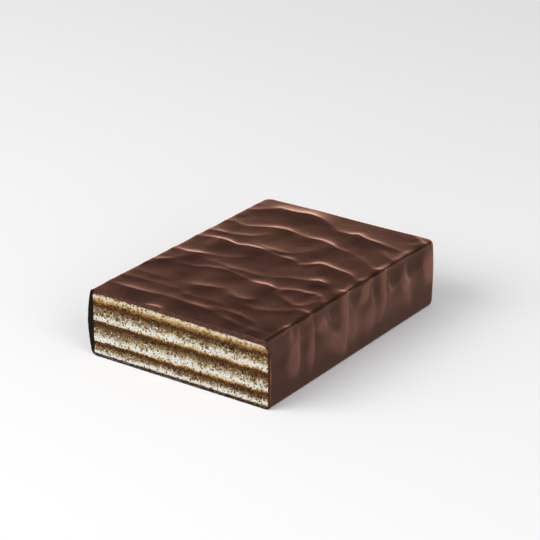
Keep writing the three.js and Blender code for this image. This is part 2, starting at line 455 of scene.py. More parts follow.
# The place, pushed about by noise, so that dots aren't round.
def warpNode(material, place, size, amount):
    noisy = addNode(material, "ShaderNodeTexNoise")
    setInputs(noisy, Scale=1 / size, Detail=2)
    join(material, place, noisy.inputs["Vector"])
    centred = addNode(material, "ShaderNodeVectorMath", operation="SUBTRACT")
    centred.inputs[1].default_value = (0.5, 0.5, 0.5)
    join(material, noisy.outputs["Color"], centred.inputs[0])
    moved = addNode(material, "ShaderNodeVectorMath", operation="MULTIPLY_ADD")
    moved.inputs[1].default_value = (amount, amount, amount)
    join(material, centred.outputs["Vector"], moved.inputs[0])
    join(material, place, moved.inputs[2])
    return moved.outputs["Vector"]


def layerMaterial(name):
    look = layerLooks[name]
    material = newMaterial(name)
    place = addNode(material, "ShaderNodeTexCoord").outputs["Object"]
    split = addNode(material, "ShaderNodeSeparateXYZ")
    join(material, place, split.inputs[0])
    wander = mapNode(material, noiseNode(material, place, 1.3 * mm, 4, 0.65), 0.25, 0.75, -0.26, 0.26)
    ragged = mapNode(material, noiseNode(material, place, 0.32 * mm, 3, 0.7), 0.25, 0.75, -0.30, 0.30)
    leftLift = mapNode(material, split.outputs["X"], stackLow.x, stackLow.x + 16 * mm, look["leftLift"], 0.0)
    share = attributeNode(material, "share")
    loose = mapNode(material, share, *look["loose"])
    shift = mathNode(material, "MULTIPLY", mathNode(material, "ADD", wander, ragged), loose)
    height = mathNode(material, "ADD", mathNode(material, "ADD", share, shift), leftLift)
    colour = rampNode(material, height, look["heights"])
    stain = mapNode(material, noiseNode(material, place, grains["stain"], 3, 0.6), 0.52, 0.66, 0.0, 0.7)
    colour = mixNode(material, stain, colour, mixNode(material, 1.0, colour, toasted["stain"], "MULTIPLY"))
    fine = noiseNode(material, place, grains["fine"], 2, 0.6)
    speckle = rampNode(material, fine, [(0.3, (0.58, 0.55, 0.50)), (0.48, (1.0, 1.0, 1.0)), (0.7, (1.30, 1.33, 1.40))])
    colour = mixNode(material, 1.0, colour, speckle, "MULTIPLY")

    # Dark pores, their colour painted shade inside the holes, ringed with toasted brown, then pale crumbs.
    uneven = warpNode(material, place, 0.40 * mm, 0.42 * mm)
    patch = mapNode(material, noiseNode(material, place, grains["patch"], 2), 0.3, 0.7, 0.7, 1.3)
    poreLimit = rampNode(material, height, [(at, (limit,) * 3) for at, limit in look["pores"]])
    poreLimit = mathNode(material, "MULTIPLY", poreLimit, patch)
    inside = dotsNode(material, uneven, grains["pore"], poreLimit)
    ring = mapNode(material, inside, -0.14, 0.0, 0.0, 0.7)
    colour = mixNode(material, ring, colour, mixNode(material, 0.6, colour, toasted["ring"]))
    colour = mixNode(material, mapNode(material, inside, 0.0, 0.07, 0.0, 0.92), colour, look["poreShadeColour"])
    crumbLimit = rampNode(material, height, [(at, (limit,) * 3) for at, limit in look["crumbs"]])
    proud = dotsNode(material, uneven, grains["crumb"], crumbLimit)
    colour = mixNode(material, mapNode(material, proud, 0.0, 0.08, 0.0, 0.9), colour, look["crumbColour"])

    # Painted shade: the deeper a pit of the broken face, the nearer its colour comes to the dark pore colour.
    pit = mapNode(material, attributeNode(material, "pit"), 0.45, 0.85, 0.0, 0.8)
    colour = mixNode(material, pit, colour, look["poreShadeColour"])
    roughness = mapNode(material, fine, 0.3, 0.7, 0.75, 0.95)
    relief = mathNode(material, "SUBTRACT", fine, mapNode(material, inside, -0.05, 0.1, 0.0, 0.6))
    relief = mathNode(material, "ADD", relief, mapNode(material, proud, -0.05, 0.1, 0.0, 0.4))
    finishMaterial(material, colour, roughness, relief, 0.10 * mm, IOR=1.4, Specular_IOR_Level=0.2)
    return material


# The stack's layers from the base up, in mm, and its shape, which the coating's room follows.
stack = {
    "layers": [
        ("wafer_1", 1.2), ("cream_1", 1.35), ("wafer_2", 2.25), ("cream_2", 1.75),
        ("wafer_3", 2.15), ("cream_3", 1.7), ("wafer_4", 1.45),
    ],
    "cutsAcross": (20, 22),
    "gridStep": 0.085 * mm,
    "waviness": 0.50 * mm,
    "topFall": 0.45 * mm,
    "leftCorner": 0.8 * mm,
    "rightCorner": 1.7 * mm,
    "pitDepth": 0.40 * mm,
    "creamDepth": 0.30 * mm,
}


# Share of the top's fall towards the right.
def topFall(points):
    base, top = bodyLow.z + walls["base"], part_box("wafer_4")[1].z
    level = np.clip((points[:, 2] - base) / (top - base), 0, 1)
    return level ** 8 * smoothStep(0, 1, (points[:, 0] - stackLow.x) / (stackHigh.x - stackLow.x))


# ---- Coating: a bevelled block, cut to a fine grid, with folds and dents, and hollow for the stack ----
coating = {
    "uprightRadius": 1.6 * mm,
    "edgeRadius": 0.55 * mm,
    "footRadius": 0.9 * mm,
    "edgeSegments": 7,
    "footSegments": 4,
    "cutsAcross": (12, 14),
    "cutsAlong": (16, 18),
    "cutsUp": (6, 7),
    "foldHeight": 0.36 * mm,
    "dentDepth": 0.30 * mm,
    "bulgeLeft": 0.85 * mm,
    "bulgeRight": 0.40 * mm,
    "bulgeAtBack": 0.05,
    "leanLeft": 0.10 * mm,
    "leanRight": 0.62 * mm,
    "leanAtBack": 0.3,
    "unevenness": 0.05 * mm,
    "sagAtBack": 0.45 * mm,
    "rimRings": 7,
    "rimRoughness": 0.16 * mm,
}

# Folds of the blown chocolate, on the unrolled skin: (mm from the left top edge, mm from the cut,
# strength). Past 38.5 mm the place is on the right wall, counted down. A fold rises slowly on its
# left as drawn, and falls away steeply on its right: "near" and "far" are those two lengths.
folds = [
    {"far": 0.9, "near": 0.7, "points": [
        (11.8, 0.2, .1), (13.2, 0.3, .5), (14.6, 0.3, .6), (16, 0.0, .3), (17, -0.3, .1)]},
    {"far": 1.3, "near": 1.7, "points": [
        (-1, 5.0, .2), (3, 4.5, .4), (5, 4.4, .55), (8, 4.5, .55), (11, 5.0, .35), (14, 5.3, .25), (17, 5.0, .35),
        (20, 4.9, .55), (22, 4.9, .4), (24, 4.6, .15), (26, 3.8, .2), (28, 3.2, .4), (29.5, 2.8, .3),
        (32, 2.5, .15), (34, 2.2, .25), (36, 1.9, .1)]},
    {"far": 0.9, "near": 1.4, "points": [
        (23, 6.2, .1), (26, 6.2, .2), (29, 5.9, .25), (31, 5.3, .25), (32.5, 4.6, .15), (34, 3.8, .1)]},
    {"far": 1.2, "near": 1.8, "points": [
        (-1, 8.5, .15), (4, 8.9, .22), (8, 9.0, .15), (12, 9.0, .1), (14, 8.6, .1), (15.3, 8.0, .28),
        (16.5, 7.7, .15), (18, 8.2, .1), (21, 8.3, .15), (24, 7.7, .1)]},
    {"far": 1.6, "near": 2.0, "points": [
        (22, 9.4, .05), (25, 10.2, .2), (28, 9.9, .22), (30, 10.1, .25), (32, 10.9, .22), (34, 12.2, .18),
        (35, 13.6, .1)]},
    {"far": 2.0, "near": 1.8, "points": [
        (-1, 11.8, .2), (4, 11.7, .15), (8, 11.7, .1), (12, 11.9, .12), (14, 12.2, .4), (15.5, 12.5, .5),
        (17, 13.0, .5), (18.5, 13.4, .3), (19.4, 13.7, .1)]},
    {"far": 2.2, "near": 0.8, "points": [
        (20.2, 14.2, .1), (21.2, 13.0, .3), (22.3, 12.2, .45), (23.6, 11.8, .5), (25, 11.8, .5),
        (25.9, 12.5, .35), (26.4, 13.6, .1)]},
    {"far": 1.5, "near": 1.5, "points": [
        (-2, 17.4, .2), (0, 17.6, .35), (1.5, 18.0, .4), (2.6, 19.0, .2), (3.6, 20.4, .15), (4.8, 21.9, .12),
        (6, 23.0, .08)]},
    {"far": 0.85, "near": 2.2, "points": [
        (3, 19.1, .1), (6, 18.9, .15), (9, 19.1, .2), (11, 20.1, .27), (13, 20.6, .3), (15, 20.7, .25),
        (17, 20.3, .2), (19, 19.9, .2), (21, 19.4, .28), (23, 19.1, .7), (24.5, 19.0, 1.2), (25.6, 18.9, 1.1),
        (26.6, 19.0, .4), (28, 19.3, .2), (29.5, 20.1, .28), (31, 20.5, .4), (32.6, 20.5, .55),
        (34, 21.0, .3), (35.3, 20.6, .45), (36.3, 19.7, .45), (37.4, 18.7, .45), (38.2, 17.6, .3),
        (38.8, 16.6, .2)]},
    {"far": 0.9, "near": 1.0, "points": [
        (28.8, 20.0, .1), (28.3, 18.7, .22), (28.8, 17.3, .25), (30, 16.4, .28), (31.2, 15.9, .3),
        (32.7, 15.1, .28), (34.2, 15.0, .25), (35.4, 16.2, .2), (35.8, 18, .1)]},
    {"far": 0.9, "near": 2.2, "points": [
        (-2, 24.0, .2), (0, 24.0, .28), (2, 23.8, .45), (4, 23.8, .75), (5, 24.0, .85), (6, 24.4, .65),
        (7.5, 24.8, .35), (9, 25.2, .2), (10.5, 25.7, .18), (12, 26.4, .15), (14, 27.8, .1), (16, 28.5, .05)]},
    {"far": 1.1, "near": 1.8, "points": [
        (6, 23.2, .1), (10, 22.6, .18), (12, 22.5, .2), (14, 22.2, .28), (15, 22.0, .35), (16.5, 22.2, .25),
        (18, 22.4, .2), (20, 22.1, .2), (22, 22.3, .12), (24, 23.3, .12), (25.5, 24.2, .15), (27, 24.8, .2),
        (29, 25.3, .25), (30.5, 25.7, .6), (31.5, 25.9, 1.1), (32.5, 25.7, .9), (33.5, 25.0, .35),
        (34.5, 24.2, .1)]},
    {"far": 0.75, "near": 2.6, "points": [
        (-2, 31.0, .2), (0, 31.1, .25), (1.5, 31.5, .32), (3, 32.0, .45), (4.5, 32.1, .8), (5.5, 32.0, 1.15),
        (7, 31.8, 1.3), (8, 31.6, 1.0), (9.5, 31.6, .6), (10.7, 32.2, .6), (12.5, 32.3, .75), (14, 32.3, .75),
        (15.5, 32.2, .5), (17, 31.8, .3), (19, 31.6, .3), (21, 31.6, .48), (22.3, 31.4, .4), (23.2, 30.9, .25),
        (24.2, 30.7, .25), (25.3, 31.3, .3), (26, 31.9, .4), (27, 32.7, .85), (28.3, 32.7, 1.15),
        (29.3, 32.5, 1.1), (31, 32.4, .65), (33, 32.2, .5), (34.3, 31.9, .4), (35.2, 31.4, .4), (36, 30.7, .3),
        (37.2, 30.3, .25), (38.2, 30.9, .3)]},
    {"far": 1.1, "near": 1.8, "points": [
        (-2, 34.8, .2), (1, 35.1, .3), (2.5, 35.2, .6), (3.5, 35.1, .6), (4.5, 35.4, .32), (6, 35.7, .3),
        (7.5, 36.2, .35), (9, 36.8, .32), (10, 37.9, .18), (10.7, 39, .1)]},
    {"far": 2.2, "near": 1.4, "points": [
        (10.3, 35.0, .1), (12, 34.1, .3), (14, 33.6, .4), (16, 33.3, .5), (18, 33.3, .5), (19.4, 33.9, .25),
        (20.6, 34.8, .15), (21.6, 36.1, .12), (22.6, 37.4, .1), (23.2, 38.6, .05)]},
    {"far": 0.95, "near": 2.6, "points": [
        (-2, 42.6, .15), (0, 41.9, .2), (2, 40.9, .25), (4, 40.4, .3), (5.5, 40.5, .3), (7, 41.3, .35),
        (8.5, 42.0, .45), (10, 42.6, .6), (11.5, 42.7, .95), (13, 42.8, .95), (15, 42.6, .5), (17, 42.3, .45),
        (19, 42.2, .5), (21, 42.3, .65), (22.5, 42.0, .8), (24, 41.4, 1.0), (24.8, 40.9, .95), (26, 40.7, .45),
        (28, 40.6, .25), (30, 40.1, .15), (32, 39.3, .2), (34, 38.0, .25), (36, 36.9, .25), (37.4, 36.3, .3),
        (38.2, 36.4, .3)]},
    {"far": 1.3, "near": 1.6, "points": [
        (32, 44.8, .1), (33.5, 44.1, .22), (35, 43.1, .3), (36.5, 42.1, .3), (37.8, 41.6, .3)]},
    {"far": 2.6, "near": 1.6, "points": [
        (-2, 47.5, .4), (0.5, 47.9, .45), (2.3, 48.6, .4), (3.6, 50.0, .3), (5, 51.2, .25)]},
    {"far": 2.6, "near": 1.8, "points": [
        (4.4, 51.9, .2), (5.6, 51.3, .7), (8, 51.0, 1.2), (10, 51.1, 1.45), (12, 51.5, 1.6), (14, 51.3, 1.5),
        (16, 50.8, 1.05), (18, 49.8, .65), (20, 48.8, .42), (22, 48.0, .32), (24, 47.9, .3)]},
    {"far": 0.85, "near": 2.2, "points": [
        (22, 48.2, .2), (24, 48.1, .4), (25.3, 48.5, 1.0), (26.5, 48.1, .9), (28, 47.8, .65), (30, 47.6, .6),
        (32, 47.3, .3), (34, 47.0, .2), (36, 46.7, .15), (37.6, 46.2, .3)]},
    {"far": 1.0, "near": 1.2, "points": [
        (33.5, 54.8, .2), (35, 54.0, .45), (36.4, 53.0, .5), (37.6, 51.8, .6), (38.2, 50.6, .3)]},
    # The crease along the right top edge.
    {"far": 0.4, "near": 0.5, "points": [(38.5, -0.5, .5), (38.4, 3.4, .55), (38.3, 4.4, .4)]},
    {"far": 0.4, "near": 0.5, "points": [(38.6, 4.2, .3), (38.3, 5.2, .8), (38.1, 6.6, .9), (38.4, 8.4, .3)]},
    {"far": 0.6, "near": 0.9, "points": [
        (35.8, 13.8, .2), (37, 13.6, .45), (38.1, 13.2, .6), (38.8, 12.2, .7), (39.5, 11.4, .5), (40.3, 10.6, .45),
        (40.8, 8.8, .3)]},
    {"far": 0.4, "near": 0.5, "points": [(38.5, 23.2, .4), (38.1, 24.6, .9), (37.9, 26.2, .6), (37.8, 27.4, .2)]},
    {"far": 0.4, "near": 0.5, "points": [(39.0, 30.6, .5), (38.6, 31.6, .9), (38.4, 33.2, .3)]},
    {"far": 0.4, "near": 0.5, "points": [(38.4, 36.6, .5), (38.1, 37.8, 1.0), (38.1, 39.6, .5), (38.2, 41, .1)]},
    {"far": 0.4, "near": 0.5, "points": [(38.2, 41.8, .4), (38.1, 43.4, .7), (38.0, 45.4, .5), (38.0, 47.4, .2)]},
    # Columns and ribs that hang down the right wall.
    {"far": 1.2, "near": 1.8, "round": True, "points": [
        (40.6, 9.2, .1), (41.4, 8.6, .6), (42.6, 8.4, 1.2), (44.5, 8.2, 1.4), (46.5, 8.1, .9), (49, 8.2, .1)]},
    {"far": 0.3, "near": 0.5, "points": [(39.2, 6.8, .4), (40.2, 6.7, .9), (41.2, 6.8, .2)]},
    {"far": 0.7, "near": 1.1, "round": True, "points": [
        (40.2, 13.5, .1), (41.4, 13.3, .6), (44, 13.2, .8), (47, 13.0, .5), (50, 12.8, .1)]},
    {"far": 0.8, "near": 1.7, "round": True, "points": [
        (40.4, 16.4, .3), (41.2, 16.7, 1.4), (42.2, 17.4, 1.0), (43.6, 18.7, .6), (46, 21.2, .7), (48, 23.0, .5),
        (50, 24.4, .2)]},
    {"far": 0.6, "near": 1.4, "round": True, "points": [
        (38.2, 24.4, .3), (39, 24.1, .8), (42, 24.1, 1.0), (45, 23.7, .8), (48, 23.3, .4), (50, 23.0, .1)]},
    {"far": 1.0, "near": 2.2, "round": True, "points": [
        (42.0, 27.0, .2), (43.4, 26.6, .6), (46, 26.2, .5), (49, 25.6, .1)]},
    {"far": 1.4, "near": 0.9, "round": True, "points": [
        (38.6, 31.0, .3), (39.6, 30.4, .9), (41.0, 30.3, 1.0), (42.0, 29.2, .7), (43.2, 28.2, .4), (45, 27.8, .3),
        (49, 27.0, .1)]},
    {"far": 1.2, "near": 1.8, "round": True, "points": [
        (42.4, 33.4, .2), (44.0, 33.0, .5), (46.4, 32.4, .5), (49, 31.6, .1)]},
    {"far": 0.5, "near": 1.0, "round": True, "points": [
        (38.2, 37.0, .5), (39.4, 36.9, 1.0), (41, 36.9, 1.0), (43, 36.9, .9), (44.6, 36.6, .6), (47, 36, .2)]},
    {"far": 0.9, "near": 1.2, "round": True, "points": [
        (43.8, 37.2, .2), (43.5, 38.2, .6), (43.1, 39.8, .6), (43.6, 41.2, .15)]},
    {"far": 0.9, "near": 1.4, "round": True, "points": [
        (39.4, 43.4, .2), (41, 43.8, .5), (42.4, 44.1, .9), (43.2, 44.6, 1.4), (43.6, 46.0, .6), (43.8, 48.2, .3),
        (43.6, 50.2, .1)]},
    {"far": 1.2, "near": 2.4, "round": True, "points": [
        (39.4, 52.6, .4), (40.6, 53.0, .9), (42.2, 53.2, 1.0), (44.2, 53.4, .8), (46.4, 53.6, .3), (48, 53.8, .1)]},
    {"far": 1.2, "near": 1.4, "round": True, "points": [
        (44.6, 44.8, .3), (46.5, 45.2, .5), (49, 46.0, .1)]},
    {"far": 2.6, "near": 2.6, "round": True, "points": [
        (46.0, -2, .2), (46.0, 10, .4), (46.2, 25, .6), (46.2, 40, .6), (46, 50, .3), (46, 57, .1)]},
]

# The left wall doesn't show in the photograph: a few columns like those on the right.
for along, reach, slant, strength in (
    (4.5, 10, 0.6, .60), (8.5, 7, -0.4, .45), (14, 11, 0.9, .70), (19.5, 8, 0.3, .50), (24, 11, -0.7, .65),
    (30, 11, 0.8, .75), (35, 8, -0.3, .50), (39.5, 11, 0.5, .70), (45, 9, -0.6, .60), (50, 10, 0.4, .60),
):
    folds.append({"far": 1.2, "near": 1.6, "round": True, "points": [
        (-0.9, along + slant, .55 * strength), (-2.4, along + 0.5 * slant, strength),
        (-0.6 * reach, along - 0.3 * slant, .85 * strength), (-reach, along - slant, .1)]})

# Hollows under the right edge, between the columns: centre on the same unrolled skin, half sizes and
# depth. Each deepens downwards and ends in a lip, wide where the chocolate ran on.
dents = [
    {"centre": (41.0, 41.0), "half": (2.4, 2.6), "depth": 1.0, "lip": 0.9},
    {"centre": (40.9, 47.4), "half": (2.4, 3.6), "depth": 0.9, "lip": 1.3},
    {"centre": (41.0, 34.6), "half": (2.4, 1.9), "depth": 0.8, "lip": 2.0},
    {"centre": (40.2, 27.6), "half": (1.8, 2.4), "depth": 0.7, "lip": 2.0},
    {"centre": (39.9, 20.8), "half": (1.6, 2.6), "depth": 0.8, "lip": 1.8},
    {"centre": (39.8, 14.8), "half": (1.3, 1.4), "depth": 0.7, "lip": 1.2},
    {"centre": (39.8, 10.6), "half": (1.4, 1.6), "depth": 0.8, "lip": 1.6},
    {"centre": (40.0, 4.0), "half": (1.6, 2.4), "depth": 0.2, "lip": 2.0},
]


# Broad painted highlights on the right wall, where light falls broadly on it, laid out like the dents.
paintedLightSpots = [
    {"centre": (42.4, 53.2), "half": (2.6, 2.8), "depth": 1.0, "lip": 4.0},
    {"centre": (43.6, 44.4), "half": (1.0, 1.2), "depth": 0.8, "lip": 1.5},
    {"centre": (43.0, 24.6), "half": (2.0, 1.4), "depth": 0.25, "lip": 3.0},
]


# A smooth curve through given points, as rows of (around, along, strength).
def smoothCurve(points, step=0.7):
    points = np.array(points, float)
    padded = np.vstack([2 * points[0] - points[1], points, 2 * points[-1] - points[-2]])
    rows = []
    for k in range(len(points) - 1):
        a, b, c, d = padded[k:k + 4]
        count = max(2, int(np.linalg.norm((c - b)[:2]) / step) + 1)
        for t in np.linspace(0, 1, count, endpoint=False):
            rows.append(b + 0.5 * t * (c - a + t * (2 * a - 5 * b + 4 * c - d + t * (3 * (b - c) + d - a))))
    rows.append(points[-1])
    curve = np.array(rows)
    curve[:, 2] = np.clip(curve[:, 2], 0, None)
    return curve


# Height of one fold over the skin, as a share of the fold height.
def foldField(around, along, fold):
    curve = smoothCurve(fold["points"])
    reach = 4 * max(fold["near"], fold["far"])
    low, high = curve[:, :2].min(0) - reach, curve[:, :2].max(0) + reach
    inside = (around > low[0]) & (around < high[0]) & (along > low[1]) & (along < high[1])
    field = np.zeros(len(around))
    place = np.stack([around[inside], along[inside]], 1)
    best = np.full(len(place), 1e9)
    offset = np.zeros(len(place))
    weight = np.full(len(place), 1e-30)
    strength = np.zeros(len(place))
    for start, end in zip(curve[:-1], curve[1:]):
        way = end[:2] - start[:2]
        length = np.hypot(*way)
        gap = place - start[:2]
        share = np.clip(gap @ way / length ** 2, 0, 1)
        miss = gap - share[:, None] * way
        distance = np.hypot(miss[:, 0], miss[:, 1])
        side = (way[0] * gap[:, 1] - way[1] * gap[:, 0]) / length
        nearer = distance < best
        best[nearer] = distance[nearer]
        offset[nearer] = side[nearer]
        closeness = length * np.exp(-distance / 0.3)
        weight += closeness
        strength += closeness * (start[2] + share * (end[2] - start[2]))
    strength /= weight
    turn = smoothStep(-0.25, 0.25, offset / np.maximum(best, 0.2))
    fall = 1.15 * fold["near"] * (1 - turn) + 0.8 * fold["far"] * turn
    if fold.get("round"):
        profile = np.exp(-(best / (1.0 * fall + 0.15)) ** 2)
    else:
        profile = np.exp(-(np.sqrt(best ** 2 + 0.15 ** 2) - 0.15) / fall)
    field[inside] = strength * profile
    return field


def dentField(around, along, dent):
    down = (around - dent["centre"][0]) / dent["half"][0]
    aside = np.abs(along - dent["centre"][1]) / dent["half"][1]
    lip = dent["lip"] / dent["half"][0]
    profile = smoothStep(-1.2, 0.6, down) * (1 - smoothStep(0.6, 0.6 + lip, down))
    return dent["depth"] * profile * (1 - smoothStep(0.55, 1.15, aside + 0.25 * np.clip(down, 0, 1)))


# Lays the skin flat: mm around from the left top edge, and mm along from the cut. The folds were
# laid out on a plain box as seen from the viewpoint, so each point is first slid onto that box.
plainBox = {"left": 0.35, "width": 38.5, "height": 13.0, "towardsView": (0.527, -0.753, 0.394)}


def layFlat(points):
    x = (points[:, 0] - bodyLow.x) / mm - plainBox["left"]
    along = (points[:, 1] - bodyLow.y) / mm
    down = plainBox["height"] - (points[:, 2] - bodyLow.z) / mm
    slideX, slideY, slideZ = plainBox["towardsView"]
    gap = plainBox["width"] - x
    nearTop = np.minimum(down, 0.2)
    leftAround = x + nearTop * slideX / slideZ - np.clip(down - 0.2, 0, None)
    onTop = x + down * slideX / slideZ
    onWall = plainBox["width"] + down - gap * slideZ / slideX
    isTop = onTop <= plainBox["width"]
    isLeft = x < plainBox["width"] / 2
    around = np.where(isLeft, leftAround, np.where(isTop, onTop, onWall))
    slide = np.where(isLeft, nearTop / slideZ, np.where(isTop, down / slideZ, gap / slideX))
    return around, along + slide * slideY


def makeCoatingSkin():
    skin = addBlock("chocolateCoating", bodyLow, bodyHigh)
    cut, back, top, base = bodyLow.y, bodyHigh.y, bodyHigh.z, bodyLow.z
    nearly = 0.01 * mm

    def backUprights(a, b):
        atBack = (a[:, 1] > back - nearly) & (b[:, 1] > back - nearly)
        return atBack & (np.abs(a[:, 2] - b[:, 2]) > nearly)

    def topEdges(a, b):
        atTop = (a[:, 2] > top - nearly) & (b[:, 2] > top - nearly)
        atCut = (a[:, 1] < cut + nearly) & (b[:, 1] < cut + nearly)
        return atTop & ~atCut

    def footEdges(a, b):
        atBase = (a[:, 2] < base + nearly) & (b[:, 2] < base + nearly)
        atCut = (a[:, 1] < cut + nearly) & (b[:, 1] < cut + nearly)
        return atBase & ~atCut

    bevelEdges(skin, backUprights, coating["uprightRadius"], coating["edgeSegments"])
    bevelEdges(skin, topEdges, coating["edgeRadius"], coating["edgeSegments"])
    bevelEdges(skin, footEdges, coating["footRadius"], coating["footSegments"])
    deleteFaces(skin, lambda centre, normal: (normal[:, 1] < -0.9) | (normal[:, 2] < -0.999))
    cutAlong(skin, 0, coating["cutsAcross"])
    cutAlong(skin, 1, coating["cutsAlong"])
    cutAlong(skin, 2, coating["cutsUp"])
    return skin


# How far the walls stand out or lean in, as shares, at each point.
def wallShares(points):
    height = (points[:, 2] - bodyLow.z) / bodySize.z
    along = (points[:, 1] - bodyLow.y) / bodySize.y
    sideways = np.abs(points[:, 0] - (bodyLow.x + bodyHigh.x) / 2) / (bodySize.x / 2)
    fade = 1 + (coating["bulgeAtBack"] - 1) * smoothStep(0, 0.8, along)
    swell = sideways ** 3 * fade * np.sin(math.pi * np.clip(height, 0, 1)).clip(0, 1) ** 0.8
    upright = 1 + (coating["leanAtBack"] - 1) * smoothStep(0.6, 1, along)
    lean = sideways ** 4 * upright * np.clip((height - 0.66) / 0.33, 0, 1) ** 1.5
    return swell, lean


def shapeCoatingSkin(skin):
    points = vertexPoints(skin.data)
    normals = vertexNormals(skin.data)
    swell, lean = wallShares(points)
    isLeft = points[:, 0] < 0
    weighGroup(skin, "swellLeft", np.where(isLeft, swell, 0))
    weighGroup(skin, "swellRight", np.where(isLeft, 0, swell))
    weighGroup(skin, "leanLeft", np.where(isLeft, lean, 0))
    weighGroup(skin, "leanRight", np.where(isLeft, 0, lean))
    displace(skin, "swellLeft", -coating["bulgeLeft"], "X")
    displace(skin, "swellRight", coating["bulgeRight"], "X")
    displace(skin, "leanLeft", coating["leanLeft"], "X")
    displace(skin, "leanRight", -coating["leanRight"], "X")
    around, along = layFlat(vertexPoints(skin.data))
    leftFade = 0.5 + 0.5 * smoothStep(0.2, 2.6, np.abs(around + 0.6))
    foldSum = leftFade * sum(foldField(around, along, fold) for fold in folds)
    dentSum = sum(dentField(around, along, dent) for dent in dents)
    height = (points[:, 2] - bodyLow.z) / bodySize.z
    footFade = smoothStep(0.03, 0.2, height)
    backFade = 1 - smoothStep(0.35, 0.95, normals[:, 1])
    onWall = 1 - smoothStep(0.3, 0.8, normals[:, 2])
    # Painted highlight: the broad lit places on the right wall, added to the crest mask.
    paintedLightSum = sum(dentField(around, along, spot) for spot in paintedLightSpots)
    # Painted highlight mask: the folds, and the broad lit spots on the right wall.
    storeOnPoints(skin, "crestHighlight", np.clip((foldSum.clip(0, 1) + paintedLightSum) * backFade, 0, 1.6))
    # Painted shade mask: the dents, less where a fold runs over them.
    storeOnPoints(skin, "hollowShade", np.clip(1.1 * dentSum * backFade - 0.9 * foldSum, 0, 1))
    storeOnPoints(skin, "wall", onWall)
    weighGroup(skin, "folds", np.clip(foldSum * footFade * backFade * (1 - 0.3 * onWall), 0, 2) / 2)
    weighGroup(skin, "dents", np.clip(dentSum * backFade, 0, 1))
    weighGroup(skin, "uneven", footFade)
    weighGroup(skin, "sagging", footFade * smoothStep(0.6, 0.95, normals[:, 1]))
    displace(skin, "folds", 2 * coating["foldHeight"])
    displace(skin, "dents", -coating["dentDepth"])
    displace(skin, "uneven", coating["unevenness"], texture=cloudTexture("swells", 4.5 * mm, 1), middle=0.5)
    displace(skin, "sagging", coating["sagAtBack"], texture=cloudTexture("sags", 5 * mm, 1), middle=0.5)
    inner = Vector((bodyLow.x, bodyLow.y + 0.6 * mm, bodyLow.z + 0.6 * mm))
    pickFaces(skin, lambda centre, normal: (centre[:, 1] > inner.y) & (centre[:, 2] > inner.z))
    bpy.ops.mesh.vertices_smooth(factor=0.5, repeat=3)
    bpy.ops.object.mode_set(mode="OBJECT")


# The room for the stack: an open box, joined to the skin across the rim of the cut.
def hollowCoating(skin):
    nearly = 0.01 * mm
    gap = Vector((0.09, 0, 0.05)) * mm
    low = Vector((stackLow.x, bodyLow.y, bodyLow.z + walls["base"])) - gap
    high = Vector((stackHigh.x, stackHigh.y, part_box("wafer_4")[1].z)) + gap
    room = addBlock("room", low, high)
    corners = (
        (low.x, high.z, 0.8 * mm, coating["edgeSegments"]),
        (high.x, high.z, 1.7 * mm, coating["edgeSegments"]),
        (low.x, low.z, 0.2 * mm, coating["footSegments"]),
        (high.x, low.z, 0.3 * mm, coating["footSegments"]),
    )
    for x, z, radius, segments in corners:
        bevelEdges(room, lambda a, b: (
            (np.abs(a[:, 2] - z) < nearly) & (np.abs(b[:, 2] - z) < nearly)
            & (np.abs(a[:, 0] - x) < nearly) & (np.abs(b[:, 0] - x) < nearly)
        ), radius, segments)
    deleteFaces(room, lambda centre, normal: normal[:, 1] < -0.9)
    cutAlong(room, 0, coating["cutsAcross"])
    cutAlong(room, 2, coating["cutsUp"])
    weighGroup(room, "fall", topFall(vertexPoints(room.data)))
    displace(room, "fall", -stack["topFall"], "Z")
    pickFaces(room, lambda centre, normal: normal[:, 1] > 0.9)
    bpy.ops.mesh.dissolve_faces()
    cut = bodyLow.y + 0.1 * mm
    pickEdges(room, lambda a, b: (a[:, 1] < cut) & (b[:, 1] < cut))
    bpy.ops.transform.translate(value=(0, -5 * mm, 0))  # apart, so that the two loops face each other
    makeActive(skin)
    room.select_set(True)
    bpy.ops.object.join()
    unfilled = openEdges(skin)
    pickEdges(skin, lambda a, b: unfilled & (a[:, 1] < cut) & (b[:, 1] < cut))
    bpy.ops.mesh.bridge_edge_loops(number_cuts=coating["rimRings"], interpolation="LINEAR")
    pickEdges(skin, lambda a, b: (a[:, 1] < cut) & (b[:, 1] < cut))
    bpy.ops.transform.resize(value=(1, 0, 1), center_override=(0, bodyLow.y, 0))
    bpy.ops.object.mode_set(mode="OBJECT")


